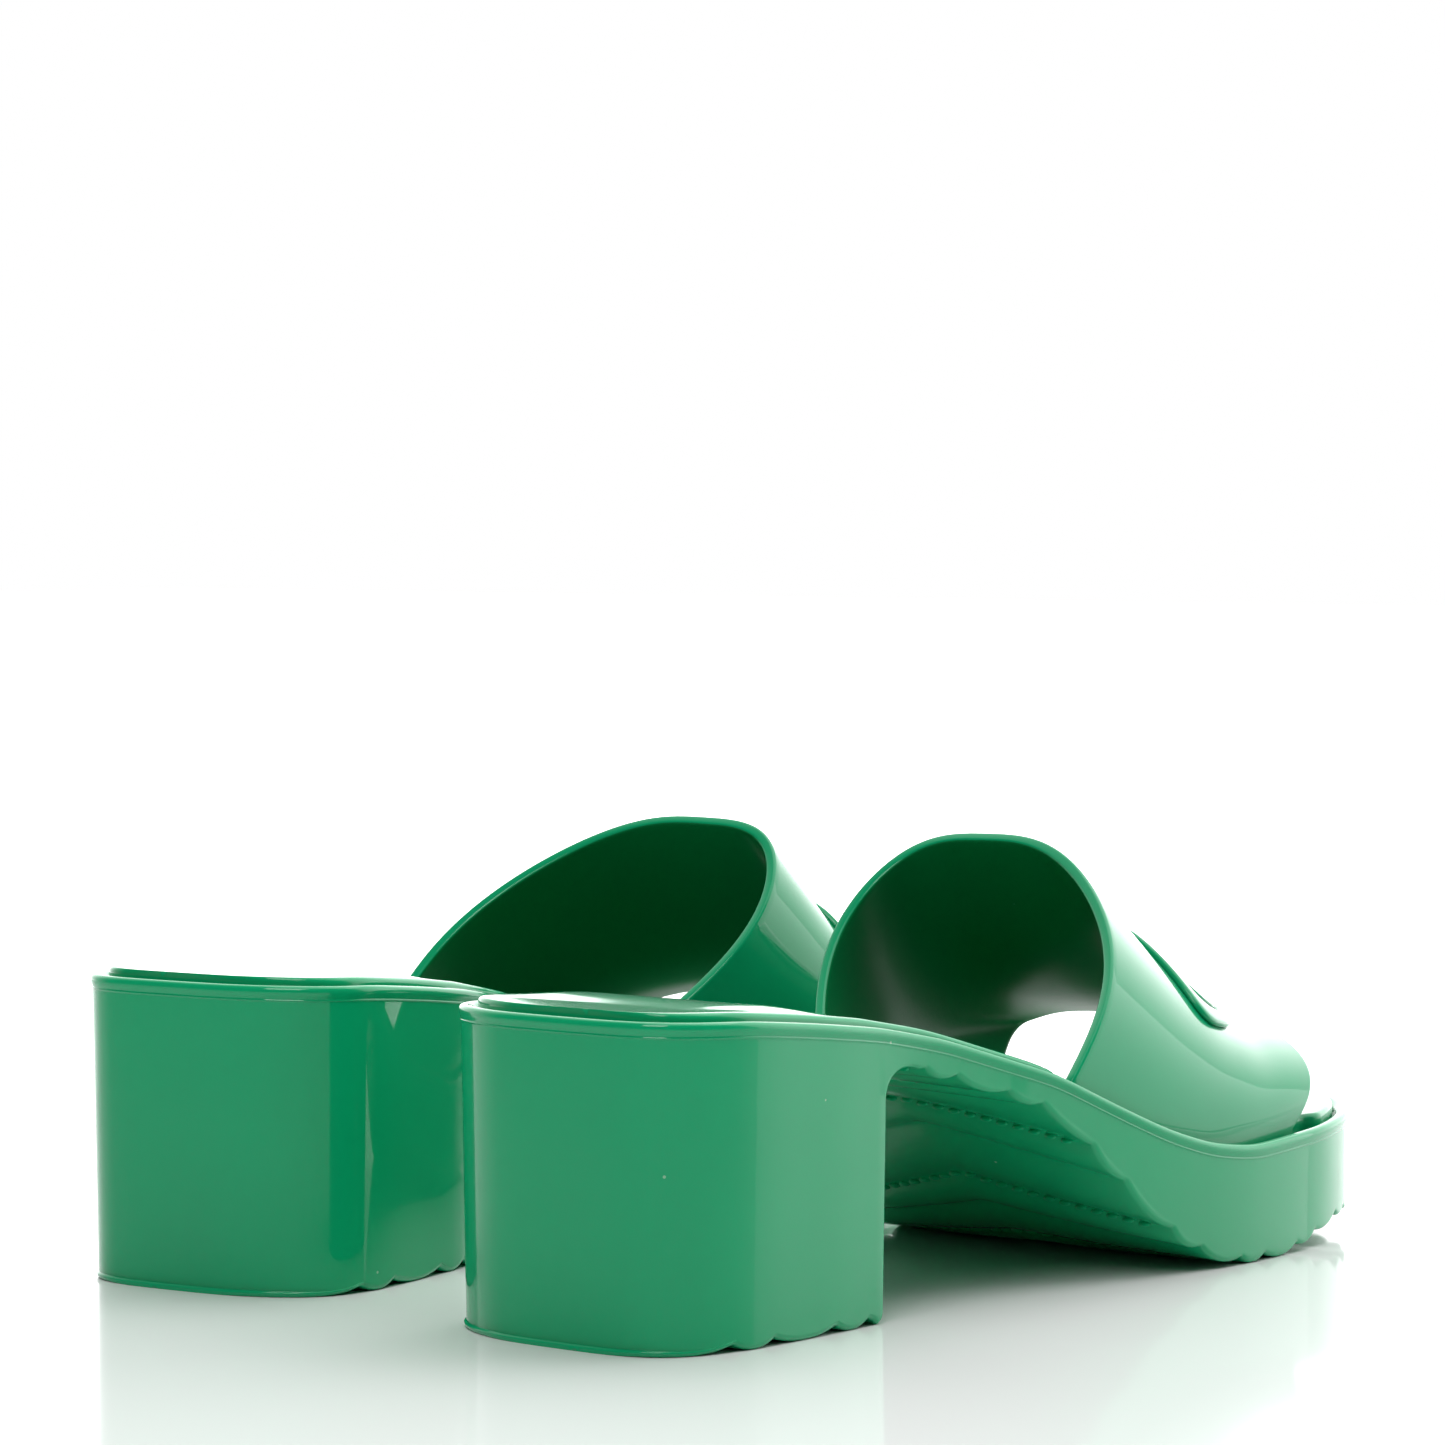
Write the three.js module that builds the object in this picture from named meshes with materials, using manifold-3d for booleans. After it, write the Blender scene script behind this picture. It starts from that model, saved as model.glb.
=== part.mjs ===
// A pair of moulded rubber platform slides: block heel, quilted sole, raised footbed and one broad band.
// Millimetres, +Z up, +Y towards the toes, +X towards the wearer's right. The pair stands on z = 0.
// Each shoe is drawn once in the right shoe's frame: x = 0 on its long axis, y = 0 at the back of the heel.

import * as THREE from 'three';
import { mergeVertices } from 'three/addons/utils/BufferGeometryUtils.js';
import Module from 'manifold-3d';

const wasm = await Module();
wasm.setup();

// ---- Driving dimensions --------------------------------------------------------

// Sole block
const SOLE_LENGTH = 250;
const SOLE_WIDTH = 94;
const HEEL_HEIGHT = 62.6; // ground to the crest of the bead at the back of the heel
const BALL_HEIGHT = 24.6; // ground to the crest of the bead under the ball of the foot
const TOE_RISE = 2.9; // how far the crest climbs again from the ball to the toe
const HEEL_BLOCK_LENGTH = 61.3; // back of the heel to its front face, the breast
const WAIST_THICKNESS = 6.4; // sole under the crest where it leaves the heel
const BREAST_FILLET = 9; // round between the breast and the waist
const TOE_SPRING = 4.6; // tip of the tread off the ground
const HEEL_DRAFT = 1.0; // how far each heel wall leans in at the ground

// Bead: the roll round the top edge
const BEAD_WIDTH = 3.0;
const BEAD_HEIGHT = 2.8;

// Tread grooves
const GROOVE_PITCH = 22.6; // from one pair of V grooves to the next
const GROOVE_SECOND = 8.8; // second groove of a pair, ahead of the first
const GROOVE_WIDTH = 1.3;
const GROOVE_DEPTH = 0.9;
const GROOVE_SWEEP = 0.29; // forward run of an arm for each millimetre outwards

// Footbed
const FOOTBED_SEAT = 2.6; // depth of its recess under the crest
const FOOTBED_PROUD = 1.4; // how far its top stands over the crest
const CLEARANCE = 0.3; // gap between two pieces that sit in each other

// Cores and shank inside the sole
const HEEL_WALL = 6;
const HEEL_TREAD = 7; // rubber under the heel core
const FILLER_WALL = 10;
const FILLER_TREAD = 10; // rubber under the forefoot filler
const FILLER_START = 152;
const FILLER_END = 236;
const SHANK_WIDTH = 14;
const SHANK_THICKNESS = 1.2;
const SHANK_START = 30;
const SHANK_END = 148;

// Band
const BAND_WALL = 2.5;
const BAND_TUCK = 5.6; // how far its feet go down between the bead and the footbed
// One arch for the opening behind and one for the toe opening. Lateral is the outer side of the foot.
const REAR_ARCH = {
  lateralFoot: 117.5,
  medialFoot: 120.8,
  height: 47.1,
  lateralLean: 48.2,
  medialLean: 46.9,
  squareness: 3.02,
  skew: -22.0,
  lateralBulge: 6.7,
  medialBulge: 5.6,
};
const TOE_ARCH = {
  lateralFoot: 193.3,
  medialFoot: 204.6,
  height: 20.4,
  lateralLean: 25.2,
  medialLean: 26.3,
  squareness: 3.7,
  skew: -13.2,
  lateralBulge: 4.2,
  medialBulge: 0,
};
const INSTEP_SAG = 3.9; // the ridge dips under a straight line halfway
const INSTEP_LEAN = 2.7; // and leans further forward there

// Emblem: two oval rings, one inside the other, that lie over the band's top
const EMBLEM_LENGTH = 36;
const EMBLEM_WIDTH = 72;
const INNER_LENGTH = 24;
const INNER_WIDTH = 64;
const INNER_FORWARD = 2.5; // the inner ring's centre sits this far towards the toes
const EMBLEM_LATERAL = 2; // both sit this far towards the little toe
const EMBLEM_ROUNDNESS = 2.8; // 2 is an ellipse, more is squarer
const RING_STRIP = 2.4;
const RING_PROUD = 1.7;
const EMBLEM_ALONG = 0.49; // place along the band, 0 at the rear arch and 1 at the toe arch

// The left shoe mirrors the right one and stands beside it, toes a little apart
const LEFT_SHIFT = new THREE.Vector3(-104.6, 5.8, 0);
const LEFT_TURN = 0.09;

const RUBBER = 0x17965f;

// ---- Curves --------------------------------------------------------

const mix = (a, b, t) => a + (b - a) * t;
const smoothstep = (t) => THREE.MathUtils.smoothstep(t, 0, 1);

// A curve z(y) through the points that keeps their rises and falls and adds none of its own.
function monotone(points) {
  const n = points.length;
  const step = (i) => points[i + 1][0] - points[i][0];
  const rise = (i) => (points[i + 1][1] - points[i][1]) / step(i);
  const slopes = points.map((_, i) => {
    if (i === 0) return rise(0);
    if (i === n - 1) return rise(n - 2);
    const before = rise(i - 1);
    const after = rise(i);
    return before * after <= 0 ? 0 : (2 * before * after) / (before + after);
  });
  return (y) => {
    if (y <= points[0][0]) return points[0][1];
    if (y >= points[n - 1][0]) return points[n - 1][1];
    const i = points.findIndex((point) => point[0] > y) - 1;
    const h = step(i);
    const t = (y - points[i][0]) / h;
    return (
      points[i][1] * (1 + 2 * t) * (1 - t) ** 2 +
      slopes[i] * h * t * (1 - t) ** 2 +
      points[i + 1][1] * t * t * (3 - 2 * t) +
      slopes[i + 1] * h * t * t * (t - 1)
    );
  };
}

// The sole's plan, as shares of its width and length, from the back of the heel round the lateral side.
const PLAN = [
  [0, 0], [0.23, 0.009], [0.33, 0.064], [0.352, 0.168], [0.357, 0.3], [0.418, 0.447], [0.48, 0.592],
  [0.498, 0.712], [0.465, 0.828], [0.347, 0.926], [0.126, 0.986], [-0.127, 0.994], [-0.349, 0.947],
  [-0.477, 0.848], [-0.497, 0.72], [-0.421, 0.58], [-0.326, 0.44], [-0.312, 0.312], [-0.359, 0.18],
  [-0.365, 0.06], [-0.219, 0.01],
];
const PLAN_STEPS = 64;
const planCurve = new THREE.CatmullRomCurve3(
  PLAN.map(([x, y]) => new THREE.Vector3(x * SOLE_WIDTH, y * SOLE_LENGTH, 0)),
  true,
);
const plan = planCurve.getSpacedPoints(PLAN_STEPS).slice(0, PLAN_STEPS);

// The outward direction at a point of the plan.
function planNormal(i) {
  const before = plan[(i + PLAN_STEPS - 1) % PLAN_STEPS];
  const after = plan[(i + 1) % PLAN_STEPS];
  return new THREE.Vector2(after.y - before.y, before.x - after.x).normalize();
}

const insetPlan = (inset) =>
  plan.map((p, i) => {
    const normal = planNormal(i);
    return new THREE.Vector2(p.x - normal.x * inset, p.y - normal.y * inset);
  });

// The sole's half-breadth at y: side is 1 on the lateral side and -1 on the medial side.
function breadth(y, side) {
  let widest = 0;
  for (let i = 0; i < PLAN_STEPS; i++) {
    const a = plan[i];
    const b = plan[(i + 1) % PLAN_STEPS];
    if ((a.y - y) * (b.y - y) > 0 || a.y === b.y) continue;
    const x = mix(a.x, b.x, (y - a.y) / (b.y - a.y));
    if (x * side > widest * side) widest = x;
  }
  return widest;
}

// Height of the bead's crest: [share of the length, share of the fall from the heel to the ball].
const FALL = [
  [0, 0], [0.08, 0.016], [0.152, 0.063], [0.24, 0.132], [0.316, 0.229], [0.44, 0.47], [0.516, 0.69],
  [0.572, 0.842], [0.628, 0.95], [0.688, 1],
];
const crest = monotone([
  ...FALL.map(([along, fall]) => [along * SOLE_LENGTH, mix(HEEL_HEIGHT, BALL_HEIGHT, fall)]),
  [0.74 * SOLE_LENGTH, BALL_HEIGHT + 0.2 * TOE_RISE],
  [SOLE_LENGTH, BALL_HEIGHT + TOE_RISE],
]);

// The underside ahead of the heel: it follows the crest under the waist, curls down to the tread and lifts
// at the toe.
const TREAD_START = 0.684 * SOLE_LENGTH;
const TREAD_END = 0.728 * SOLE_LENGTH;
const CURL_START = HEEL_BLOCK_LENGTH + 36;
function underside(y) {
  const curl = THREE.MathUtils.clamp((y - CURL_START) / (TREAD_START - CURL_START), 0, 1);
  const waist = (crest(y) - WAIST_THICKNESS) * (1 - smoothstep(curl ** 1.3));
  const fillet = THREE.MathUtils.clamp(1 - (y - HEEL_BLOCK_LENGTH) / BREAST_FILLET, 0, 1);
  const round = BREAST_FILLET * 0.8 * (1 - Math.sqrt(1 - fillet * fillet));
  const spring = TOE_SPRING * THREE.MathUtils.smoothstep(y, TREAD_END, 0.86 * SOLE_LENGTH);
  return Math.max(waist - round, 0) + spring;
}

const UNDERSIDE_STEP = 6.5;

const seat = (y) => crest(y) - FOOTBED_SEAT; // floor of the footbed's recess

// ---- Solids --------------------------------------------------------

function toSolid(geometry) {
  geometry.deleteAttribute('normal');
  geometry.deleteAttribute('uv');
  const merged = mergeVertices(geometry, 1e-3);
  return new wasm.Manifold(
    new wasm.Mesh({
      numProp: 3,
      vertProperties: merged.attributes.position.array,
      triVerts: new Uint32Array(merged.index.array),
    }),
  );
}

function toGeometry(solid) {
  const mesh = solid.getMesh();
  const geometry = new THREE.BufferGeometry();
  geometry.setAttribute('position', new THREE.BufferAttribute(mesh.vertProperties, 3));
  geometry.setIndex(new THREE.BufferAttribute(mesh.triVerts, 1));
  geometry.computeVertexNormals();
  return geometry;
}

// A flat outline in plan, raised from z = low to z = high.
function upright(outline, low, high) {
  const geometry = new THREE.ExtrudeGeometry(new THREE.Shape(outline), {
    depth: high - low,
    bevelEnabled: false,
  });
  return geometry.translate(0, 0, low);
}

// A side profile of (y, z) points, run straight across the shoe over the given half-width.
const SIDEWAYS = new THREE.Matrix4().makeBasis(
  new THREE.Vector3(0, 1, 0),
  new THREE.Vector3(0, 0, 1),
  new THREE.Vector3(1, 0, 0),
);
function across(profile, halfWidth = SOLE_WIDTH, steps = 1) {
  const shape = new THREE.Shape(profile.map(([y, z]) => new THREE.Vector2(y, z)));
  const geometry = new THREE.ExtrudeGeometry(shape, {
    depth: 2 * halfWidth,
    bevelEnabled: false,
    steps,
  });
  return geometry.translate(0, 0, -halfWidth).applyMatrix4(SIDEWAYS);
}

// Points (y, z) along a height curve from y = start to y = end, at most step apart.
function alongCurve(curve, start, end, step) {
  const count = Math.max(2, Math.ceil(Math.abs(end - start) / step));
  return Array.from({ length: count + 1 }, (_, i) => {
    const y = mix(start, end, i / count);
    return [y, curve(y)];
  });
}

// A profile between two height curves, from y = start to y = end.
const between = (lower, upper, start, end, step = 8) => [
  ...alongCurve(lower, start, end, step),
  ...alongCurve(upper, end, start, step),
];

const BEYOND = 8; // how far cutters and blanks run past the sole
const level = (z) => () => z;
const shifted = (curve, rise) => (y) => curve(y) + rise;

// A tube round the plan whose section is an ellipse: the bead.
function beadRoll() {
  const sides = 6;
  const positions = [];
  const faces = [];
  for (let i = 0; i < PLAN_STEPS; i++) {
    const normal = planNormal(i);
    for (let j = 0; j < sides; j++) {
      const angle = (2 * Math.PI * j) / sides;
      const out = (BEAD_WIDTH / 2) * Math.cos(angle) - BEAD_WIDTH / 2 + 0.35;
      const up = (BEAD_HEIGHT / 2) * (Math.sin(angle) - 1);
      positions.push(plan[i].x + normal.x * out, plan[i].y + normal.y * out, crest(plan[i].y) + up);
      const a = i * sides + j;
      const b = i * sides + ((j + 1) % sides);
      const c = (a + sides) % (PLAN_STEPS * sides);
      const d = (b + sides) % (PLAN_STEPS * sides);
      faces.push(a, c, b, b, c, d);
    }
  }
  const geometry = new THREE.BufferGeometry();
  geometry.setAttribute('position', new THREE.Float32BufferAttribute(positions, 3));
  geometry.setIndex(faces);
  return geometry;
}

// ---- Band --------------------------------------------------------

const BAND_STATIONS = 11;
const ARCH_STEPS = 22;

function archAt(along) {
  const arch = {};
  for (const key of Object.keys(REAR_ARCH)) arch[key] = mix(REAR_ARCH[key], TOE_ARCH[key], along);
  const middle = 4 * along * (1 - along);
  arch.height -= middle * INSTEP_SAG;
  arch.lateralLean += middle * INSTEP_LEAN;
  arch.medialLean += middle * INSTEP_LEAN;
  return arch;
}

// A point of the band's outer surface: along runs from the rear arch to the toe arch, turn from 0 at the
// lateral foot to 1 at the medial foot.
function bandPoint(along, turn) {
  const arch = archAt(along);
  const angle = THREE.MathUtils.clamp(turn, 1e-6, 1 - 1e-6) * Math.PI;
  const cosine = Math.cos(angle);
  const over = Math.sign(cosine) * Math.abs(cosine) ** (2 / arch.squareness);
  const up = Math.sin(angle) ** (2 / arch.squareness);
  const lateral = (1 + over) / 2;
  const inset = BEAD_WIDTH + CLEARANCE;
  const lateralX = breadth(arch.lateralFoot, 1) - inset;
  const medialX = breadth(arch.medialFoot, -1) + inset;
  const bulge = (lateral > 0.5 ? arch.lateralBulge : -arch.medialBulge) * Math.abs(over);
  const lean = mix(arch.medialLean, arch.lateralLean, lateral);
  return new THREE.Vector3(
    mix(medialX, lateralX, lateral) + arch.skew * up + bulge * Math.sin(Math.PI * up),
    mix(arch.medialFoot, arch.lateralFoot, lateral) + lean * up,
    mix(crest(arch.medialFoot), crest(arch.lateralFoot), lateral) + arch.height * up,
  );
}

// The outward direction of the band's surface.
function bandNormal(along, turn) {
  const delta = 0.01;
  const ahead = bandPoint(Math.min(along + delta, 1), turn).sub(bandPoint(Math.max(along - delta, 0), turn));
  const round = bandPoint(along, Math.min(turn + delta, 0.999)).sub(
    bandPoint(along, Math.max(turn - delta, 0.001)),
  );
  return ahead.cross(round).normalize();
}

// The band with its walls grown by margin on every face: margin 0 is the band, CLEARANCE its seat.
function bandSolid(margin) {
  const ends = margin === 0 ? 0 : margin / 80;
  const positions = [];
  const faces = [];
  const ringSize = 2 * (ARCH_STEPS + 3);
  for (let i = 0; i <= BAND_STATIONS; i++) {
    const along = mix(-ends, 1 + ends, i / BAND_STATIONS);
    const outer = [];
    const inner = [];
    for (let j = 0; j <= ARCH_STEPS; j++) {
      // Points crowd towards the feet, where the arch turns quickest.
      const share = j / ARCH_STEPS;
      const turn = share - 0.1 * Math.sin(2 * Math.PI * share);
      const point = bandPoint(along, turn);
      const normal = bandNormal(along, turn);
      if (j === 0 || j === ARCH_STEPS) normal.setZ(0).normalize();
      outer.push(point.clone().addScaledVector(normal, margin));
      inner.push(point.clone().addScaledVector(normal, -BAND_WALL - margin));
    }
    const drop = new THREE.Vector3(0, 0, -BAND_TUCK - margin);
    for (const wall of [outer, inner]) {
      wall.unshift(wall[0].clone().add(drop));
      wall.push(wall[wall.length - 1].clone().add(drop));
    }
    for (const p of [...outer, ...inner.reverse()]) positions.push(p.x, p.y, p.z);
  }
  for (let i = 0; i < BAND_STATIONS; i++) {
    for (let j = 0; j < ringSize; j++) {
      const a = i * ringSize + j;
      const b = i * ringSize + ((j + 1) % ringSize);
      faces.push(a, a + ringSize, b, b, a + ringSize, b + ringSize);
    }
  }
  const last = BAND_STATIONS * ringSize;
  for (let j = 0; j < ringSize / 2 - 1; j++) {
    const far = ringSize - 1 - j;
    faces.push(j, j + 1, far, far, j + 1, far - 1);
    faces.push(last + j, last + far, last + j + 1, last + far, last + far - 1, last + j + 1);
  }
  const geometry = new THREE.BufferGeometry();
  geometry.setAttribute('position', new THREE.Float32BufferAttribute(positions, 3));
  geometry.setIndex(faces);
  return toSolid(geometry);
}

// The turn at which the band lies across mm to the medial side of the middle of its arch.
function acrossToTurn(across, along) {
  const span = bandPoint(along, 0).distanceTo(bandPoint(along, 1)) / 2;
  const share = Math.min(Math.abs(across) / span, 1);
  return Math.acos(-Math.sign(across) * share ** (archAt(along).squareness / 2)) / Math.PI;
}

// An oval ring that follows the band's surface and keeps the clearance over it.
function emblemRing(length, width, forward) {
  const run =
    bandPoint(EMBLEM_ALONG + 0.02, 0.5).distanceTo(bandPoint(EMBLEM_ALONG - 0.02, 0.5)) / 0.04;
  const steps = 64;
  const positions = [];
  const faces = [];
  const squared = (t) => Math.sign(t) * Math.abs(t) ** (2 / EMBLEM_ROUNDNESS);
  for (let i = 0; i < steps; i++) {
    const angle = (2 * Math.PI * (i + 0.5)) / steps;
    for (const [edge, height] of [[0, 0], [0, 1], [1, 1], [1, 0]]) {
      const a = (length / 2 - edge * RING_STRIP) * squared(Math.cos(angle)) + forward;
      const b = (width / 2 - edge * RING_STRIP) * squared(Math.sin(angle)) - EMBLEM_LATERAL;
      const along = EMBLEM_ALONG + a / run;
      const turn = acrossToTurn(b, along);
      const out = CLEARANCE + height * RING_PROUD;
      const p = bandPoint(along, turn).addScaledVector(bandNormal(along, turn), out);
      positions.push(p.x, p.y, p.z);
    }
    const next = ((i + 1) % steps) * 4;
    for (let j = 0; j < 4; j++) {
      const a = i * 4 + j;
      const b = i * 4 + ((j + 1) % 4);
      const c = next + j;
      const d = next + ((j + 1) % 4);
      faces.push(a, c, b, b, c, d);
    }
  }
  const geometry = new THREE.BufferGeometry();
  geometry.setAttribute('position', new THREE.Float32BufferAttribute(positions, 3));
  geometry.setIndex(faces);
  return toSolid(geometry);
}

// ---- Sole --------------------------------------------------------

// The blank that the heel, waist and platform are cut from.
function soleBlank() {
  const rim = shifted(crest, -BEAD_HEIGHT / 2);
  const start = -BEYOND;
  const end = SOLE_LENGTH + BEYOND;
  const filletSteps = 4;
  const fillet = Array.from({ length: filletSteps }, (_, i) => {
    const y = HEEL_BLOCK_LENGTH + BREAST_FILLET * (i / filletSteps) ** 2;
    return [y, underside(y)];
  });
  const profile = [
    [start, 0],
    [HEEL_BLOCK_LENGTH, 0],
    ...fillet,
    ...alongCurve(underside, HEEL_BLOCK_LENGTH + BREAST_FILLET, end, UNDERSIDE_STEP),
    ...alongCurve(rim, end, start, 8),
  ];
  const walls = upright(plan.map((p) => new THREE.Vector2(p.x, p.y)), -1, HEEL_HEIGHT + BEYOND);
  return leanWalls(toSolid(walls).intersect(toSolid(across(profile))));
}

// The walls lean in towards the ground by the heel's draft.
function leanWalls(solid) {
  const geometry = toGeometry(solid);
  const position = geometry.attributes.position;
  for (let i = 0; i < position.count; i++) {
    const y = position.getY(i);
    const depth = Math.max(crest(y) - position.getZ(i), 0) / HEEL_HEIGHT;
    position.setX(i, position.getX(i) * (1 - (HEEL_DRAFT * depth) / (SOLE_WIDTH / 2)));
    const back = Math.max(1 - y / HEEL_BLOCK_LENGTH, 0);
    position.setY(i, y + HEEL_DRAFT * depth * back);
  }
  return toSolid(geometry);
}

// One V groove in plan, its point towards the heel.
function grooveStrip(apex) {
  const reach = SOLE_WIDTH;
  const forward = reach * GROOVE_SWEEP;
  const outline = [
    [0, apex], [reach, apex + forward], [reach, apex + forward + GROOVE_WIDTH],
    [0, apex + GROOVE_WIDTH], [-reach, apex + forward + GROOVE_WIDTH], [-reach, apex + forward],
  ];
  return toSolid(upright(outline.map(([x, y]) => new THREE.Vector2(x, y)), -1, HEEL_HEIGHT));
}

// Pairs of V grooves cut into the heel's tread and all along the underside.
function treadGrooves() {
  const heelSkin = toSolid(across(between(level(-1), level(GROOVE_DEPTH), -BEYOND, HEEL_BLOCK_LENGTH - 2)));
  const soleSkin = toSolid(across(between(
    shifted(underside, -1), shifted(underside, GROOVE_DEPTH),
    HEEL_BLOCK_LENGTH + BREAST_FILLET, SOLE_LENGTH + BEYOND, UNDERSIDE_STEP,
  )));
  const skin = heelSkin.add(soleSkin);
  let strips = null;
  const start = SOLE_LENGTH * 0.527;
  for (let k = -6; k <= 5; k++) {
    for (const second of [0, GROOVE_SECOND]) {
      const strip = grooveStrip(start + k * GROOVE_PITCH + second);
      strips = strips ? strips.add(strip) : strip;
    }
  }
  return skin.intersect(strips);
}

// The space for a core: an inset of the plan between two height curves.
function coreSpace(inset, start, end, lower, upper) {
  const outline = toSolid(upright(insetPlan(inset), 0, HEEL_HEIGHT + BEYOND));
  return outline.intersect(toSolid(across(between(lower, upper, start, end))));
}

const shankSlotDepth = 2 * CLEARANCE + SHANK_THICKNESS;
const shankBar = (margin, bottom, top) =>
  toSolid(across(
    between(shifted(seat, bottom), shifted(seat, top), SHANK_START - margin, SHANK_END + margin),
    SHANK_WIDTH / 2 + margin,
  ));

const shankSlot = shankBar(CLEARANCE, -shankSlotDepth, CLEARANCE);
const bandSeat = bandSolid(CLEARANCE);
const heelCoreEnd = HEEL_BLOCK_LENGTH - HEEL_WALL;

function soleShell() {
  const recess = coreSpace(BEAD_WIDTH, -BEYOND, SOLE_LENGTH + BEYOND, seat, level(HEEL_HEIGHT + BEYOND));
  const above = shifted(seat, 1);
  const heelCavity = coreSpace(HEEL_WALL, -BEYOND, heelCoreEnd, level(HEEL_TREAD), above);
  const fillerCavity = coreSpace(FILLER_WALL, FILLER_START, FILLER_END, level(FILLER_TREAD), above);
  return soleBlank()
    .add(toSolid(beadRoll()))
    .subtract(recess)
    .subtract(heelCavity)
    .subtract(fillerCavity)
    .subtract(shankSlot)
    .subtract(bandSeat)
    .subtract(treadGrooves());
}

function heelCore() {
  const inset = HEEL_WALL + CLEARANCE;
  return coreSpace(inset, -BEYOND, heelCoreEnd - CLEARANCE, level(HEEL_TREAD + CLEARANCE), seat)
    .subtract(shankSlot);
}

function forefootFiller() {
  const inset = FILLER_WALL + CLEARANCE;
  const bottom = level(FILLER_TREAD + CLEARANCE);
  return coreSpace(inset, FILLER_START + CLEARANCE, FILLER_END - CLEARANCE, bottom, seat);
}

const shank = () => shankBar(0, CLEARANCE - shankSlotDepth, -CLEARANCE);

function footbed() {
  const inset = BEAD_WIDTH + CLEARANCE;
  const bottom = shifted(seat, CLEARANCE);
  const top = shifted(crest, FOOTBED_PROUD);
  return coreSpace(inset, -BEYOND, SOLE_LENGTH + BEYOND, bottom, top).subtract(bandSeat);
}

// ---- Assembly --------------------------------------------------------

const material = (color, roughness, metalness) =>
  new THREE.MeshStandardMaterial({ color, roughness, metalness });

const pieces = {
  sole_shell: [toGeometry(soleShell()), [RUBBER, 0.28, 0]],
  heel_core: [toGeometry(heelCore()), [0xd9d3c2, 0.8, 0]],
  forefoot_filler: [toGeometry(forefootFiller()), [0xe4dfd0, 0.9, 0]],
  shank: [toGeometry(shank()), [0x9a9ca0, 0.4, 1]],
  footbed: [toGeometry(footbed()), [0x2aa56e, 0.42, 0]],
  vamp_band: [toGeometry(bandSolid(0)), [RUBBER, 0.2, 0]],
  emblem_outer_ring: [toGeometry(emblemRing(EMBLEM_LENGTH, EMBLEM_WIDTH, 0)), [RUBBER, 0.22, 0]],
  emblem_inner_ring: [toGeometry(emblemRing(INNER_LENGTH, INNER_WIDTH, INNER_FORWARD)), [RUBBER, 0.22, 0]],
};

function shoe(side) {
  const group = new THREE.Group();
  for (const [name, [geometry, finish]] of Object.entries(pieces)) {
    const mesh = new THREE.Mesh(geometry, material(...finish));
    mesh.name = `${side}_${name}`;
    group.add(mesh);
  }
  return group;
}

const right = shoe('right');
const left = shoe('left');
left.scale.x = -1;
left.rotation.z = LEFT_TURN;
left.position.copy(LEFT_SHIFT);

// The part's origin is at the bottom centre of the pair.
const pair = new THREE.Group();
pair.add(right, left);
pair.updateMatrixWorld(true);
const box = new THREE.Box3().setFromObject(pair, true);
const centre = box.getCenter(new THREE.Vector3());
pair.position.set(-centre.x, -centre.y, -box.min.z);

export default pair;
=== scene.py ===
import math

import bmesh
import bpy
import numpy as np
from mathutils import Matrix, Vector


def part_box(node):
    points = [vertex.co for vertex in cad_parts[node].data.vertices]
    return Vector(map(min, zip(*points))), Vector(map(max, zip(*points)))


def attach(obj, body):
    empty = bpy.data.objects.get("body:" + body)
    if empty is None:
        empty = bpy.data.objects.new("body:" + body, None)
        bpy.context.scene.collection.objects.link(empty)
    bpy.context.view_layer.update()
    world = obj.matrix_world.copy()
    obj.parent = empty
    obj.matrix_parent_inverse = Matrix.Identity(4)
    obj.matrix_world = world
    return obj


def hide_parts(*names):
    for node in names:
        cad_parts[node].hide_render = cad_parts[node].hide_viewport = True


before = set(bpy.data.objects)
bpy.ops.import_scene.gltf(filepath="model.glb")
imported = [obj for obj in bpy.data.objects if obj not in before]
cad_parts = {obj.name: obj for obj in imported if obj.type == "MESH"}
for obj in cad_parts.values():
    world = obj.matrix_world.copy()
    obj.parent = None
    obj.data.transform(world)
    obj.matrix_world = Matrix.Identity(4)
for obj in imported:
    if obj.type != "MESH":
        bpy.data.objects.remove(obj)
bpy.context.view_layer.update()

# A pair of moulded rubber slides. Metres, +Z up, +Y towards the toes, +X towards the wearer's right.
# Each shoe is shaped in the right shoe's own frame, x = 0 on its long axis and y = 0 at the heel's back,
# and is then put where its sole stands in the frame. The left shoe is the mirror of the right one.

MM = 0.001

# ---- Sizes, in millimetres -------------------------------------------------------------------------

SOLE_LENGTH = 250.0
SOLE_WIDTH = 94.0
HEEL_HEIGHT = 62.6
BALL_HEIGHT = 24.6
TOE_RISE = 2.9
HEEL_BLOCK = 61.3
WAIST = 6.4
BREAST_FILLET = 9.0
TOE_SPRING = 4.6
HEEL_DRAFT = 1.0

BEAD_WIDTH = 3.0
SEAT_DEPTH = 2.6
FOOTBED_PROUD = 1.5
BAND_WALL = 2.5
BAND_TUCK = 3.5

EDGE_ROUND = 1.0
CORNER_ROUND = 2.2
PUFF = 1.5
# V grooves come in pairs: where one pair starts, how far apart the pairs are, and the gap in a pair.
GROOVE_PITCH = 22.6
FIRST_GROOVE = 0.527 * SOLE_LENGTH
TREAD_GROOVES = (FIRST_GROOVE, GROOVE_PITCH, 8.8)
HEEL_GROOVES = (8.3, 28.6, 10.1)
GROOVE_SWEEP = 0.29

REAR_ARCH = dict(
    lateral_foot=117.5, medial_foot=120.8, height=47.1, lateral_lean=48.2, medial_lean=46.9,
    squareness=3.02, skew=-22.0, lateral_bulge=6.7, medial_bulge=5.6,
)
TOE_ARCH = dict(
    lateral_foot=193.3, medial_foot=204.6, height=20.4, lateral_lean=25.2, medial_lean=26.3,
    squareness=3.7, skew=-13.2, lateral_bulge=4.2, medial_bulge=0.0,
)
INSTEP_SAG = 3.9
INSTEP_LEAN = 2.7

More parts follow.
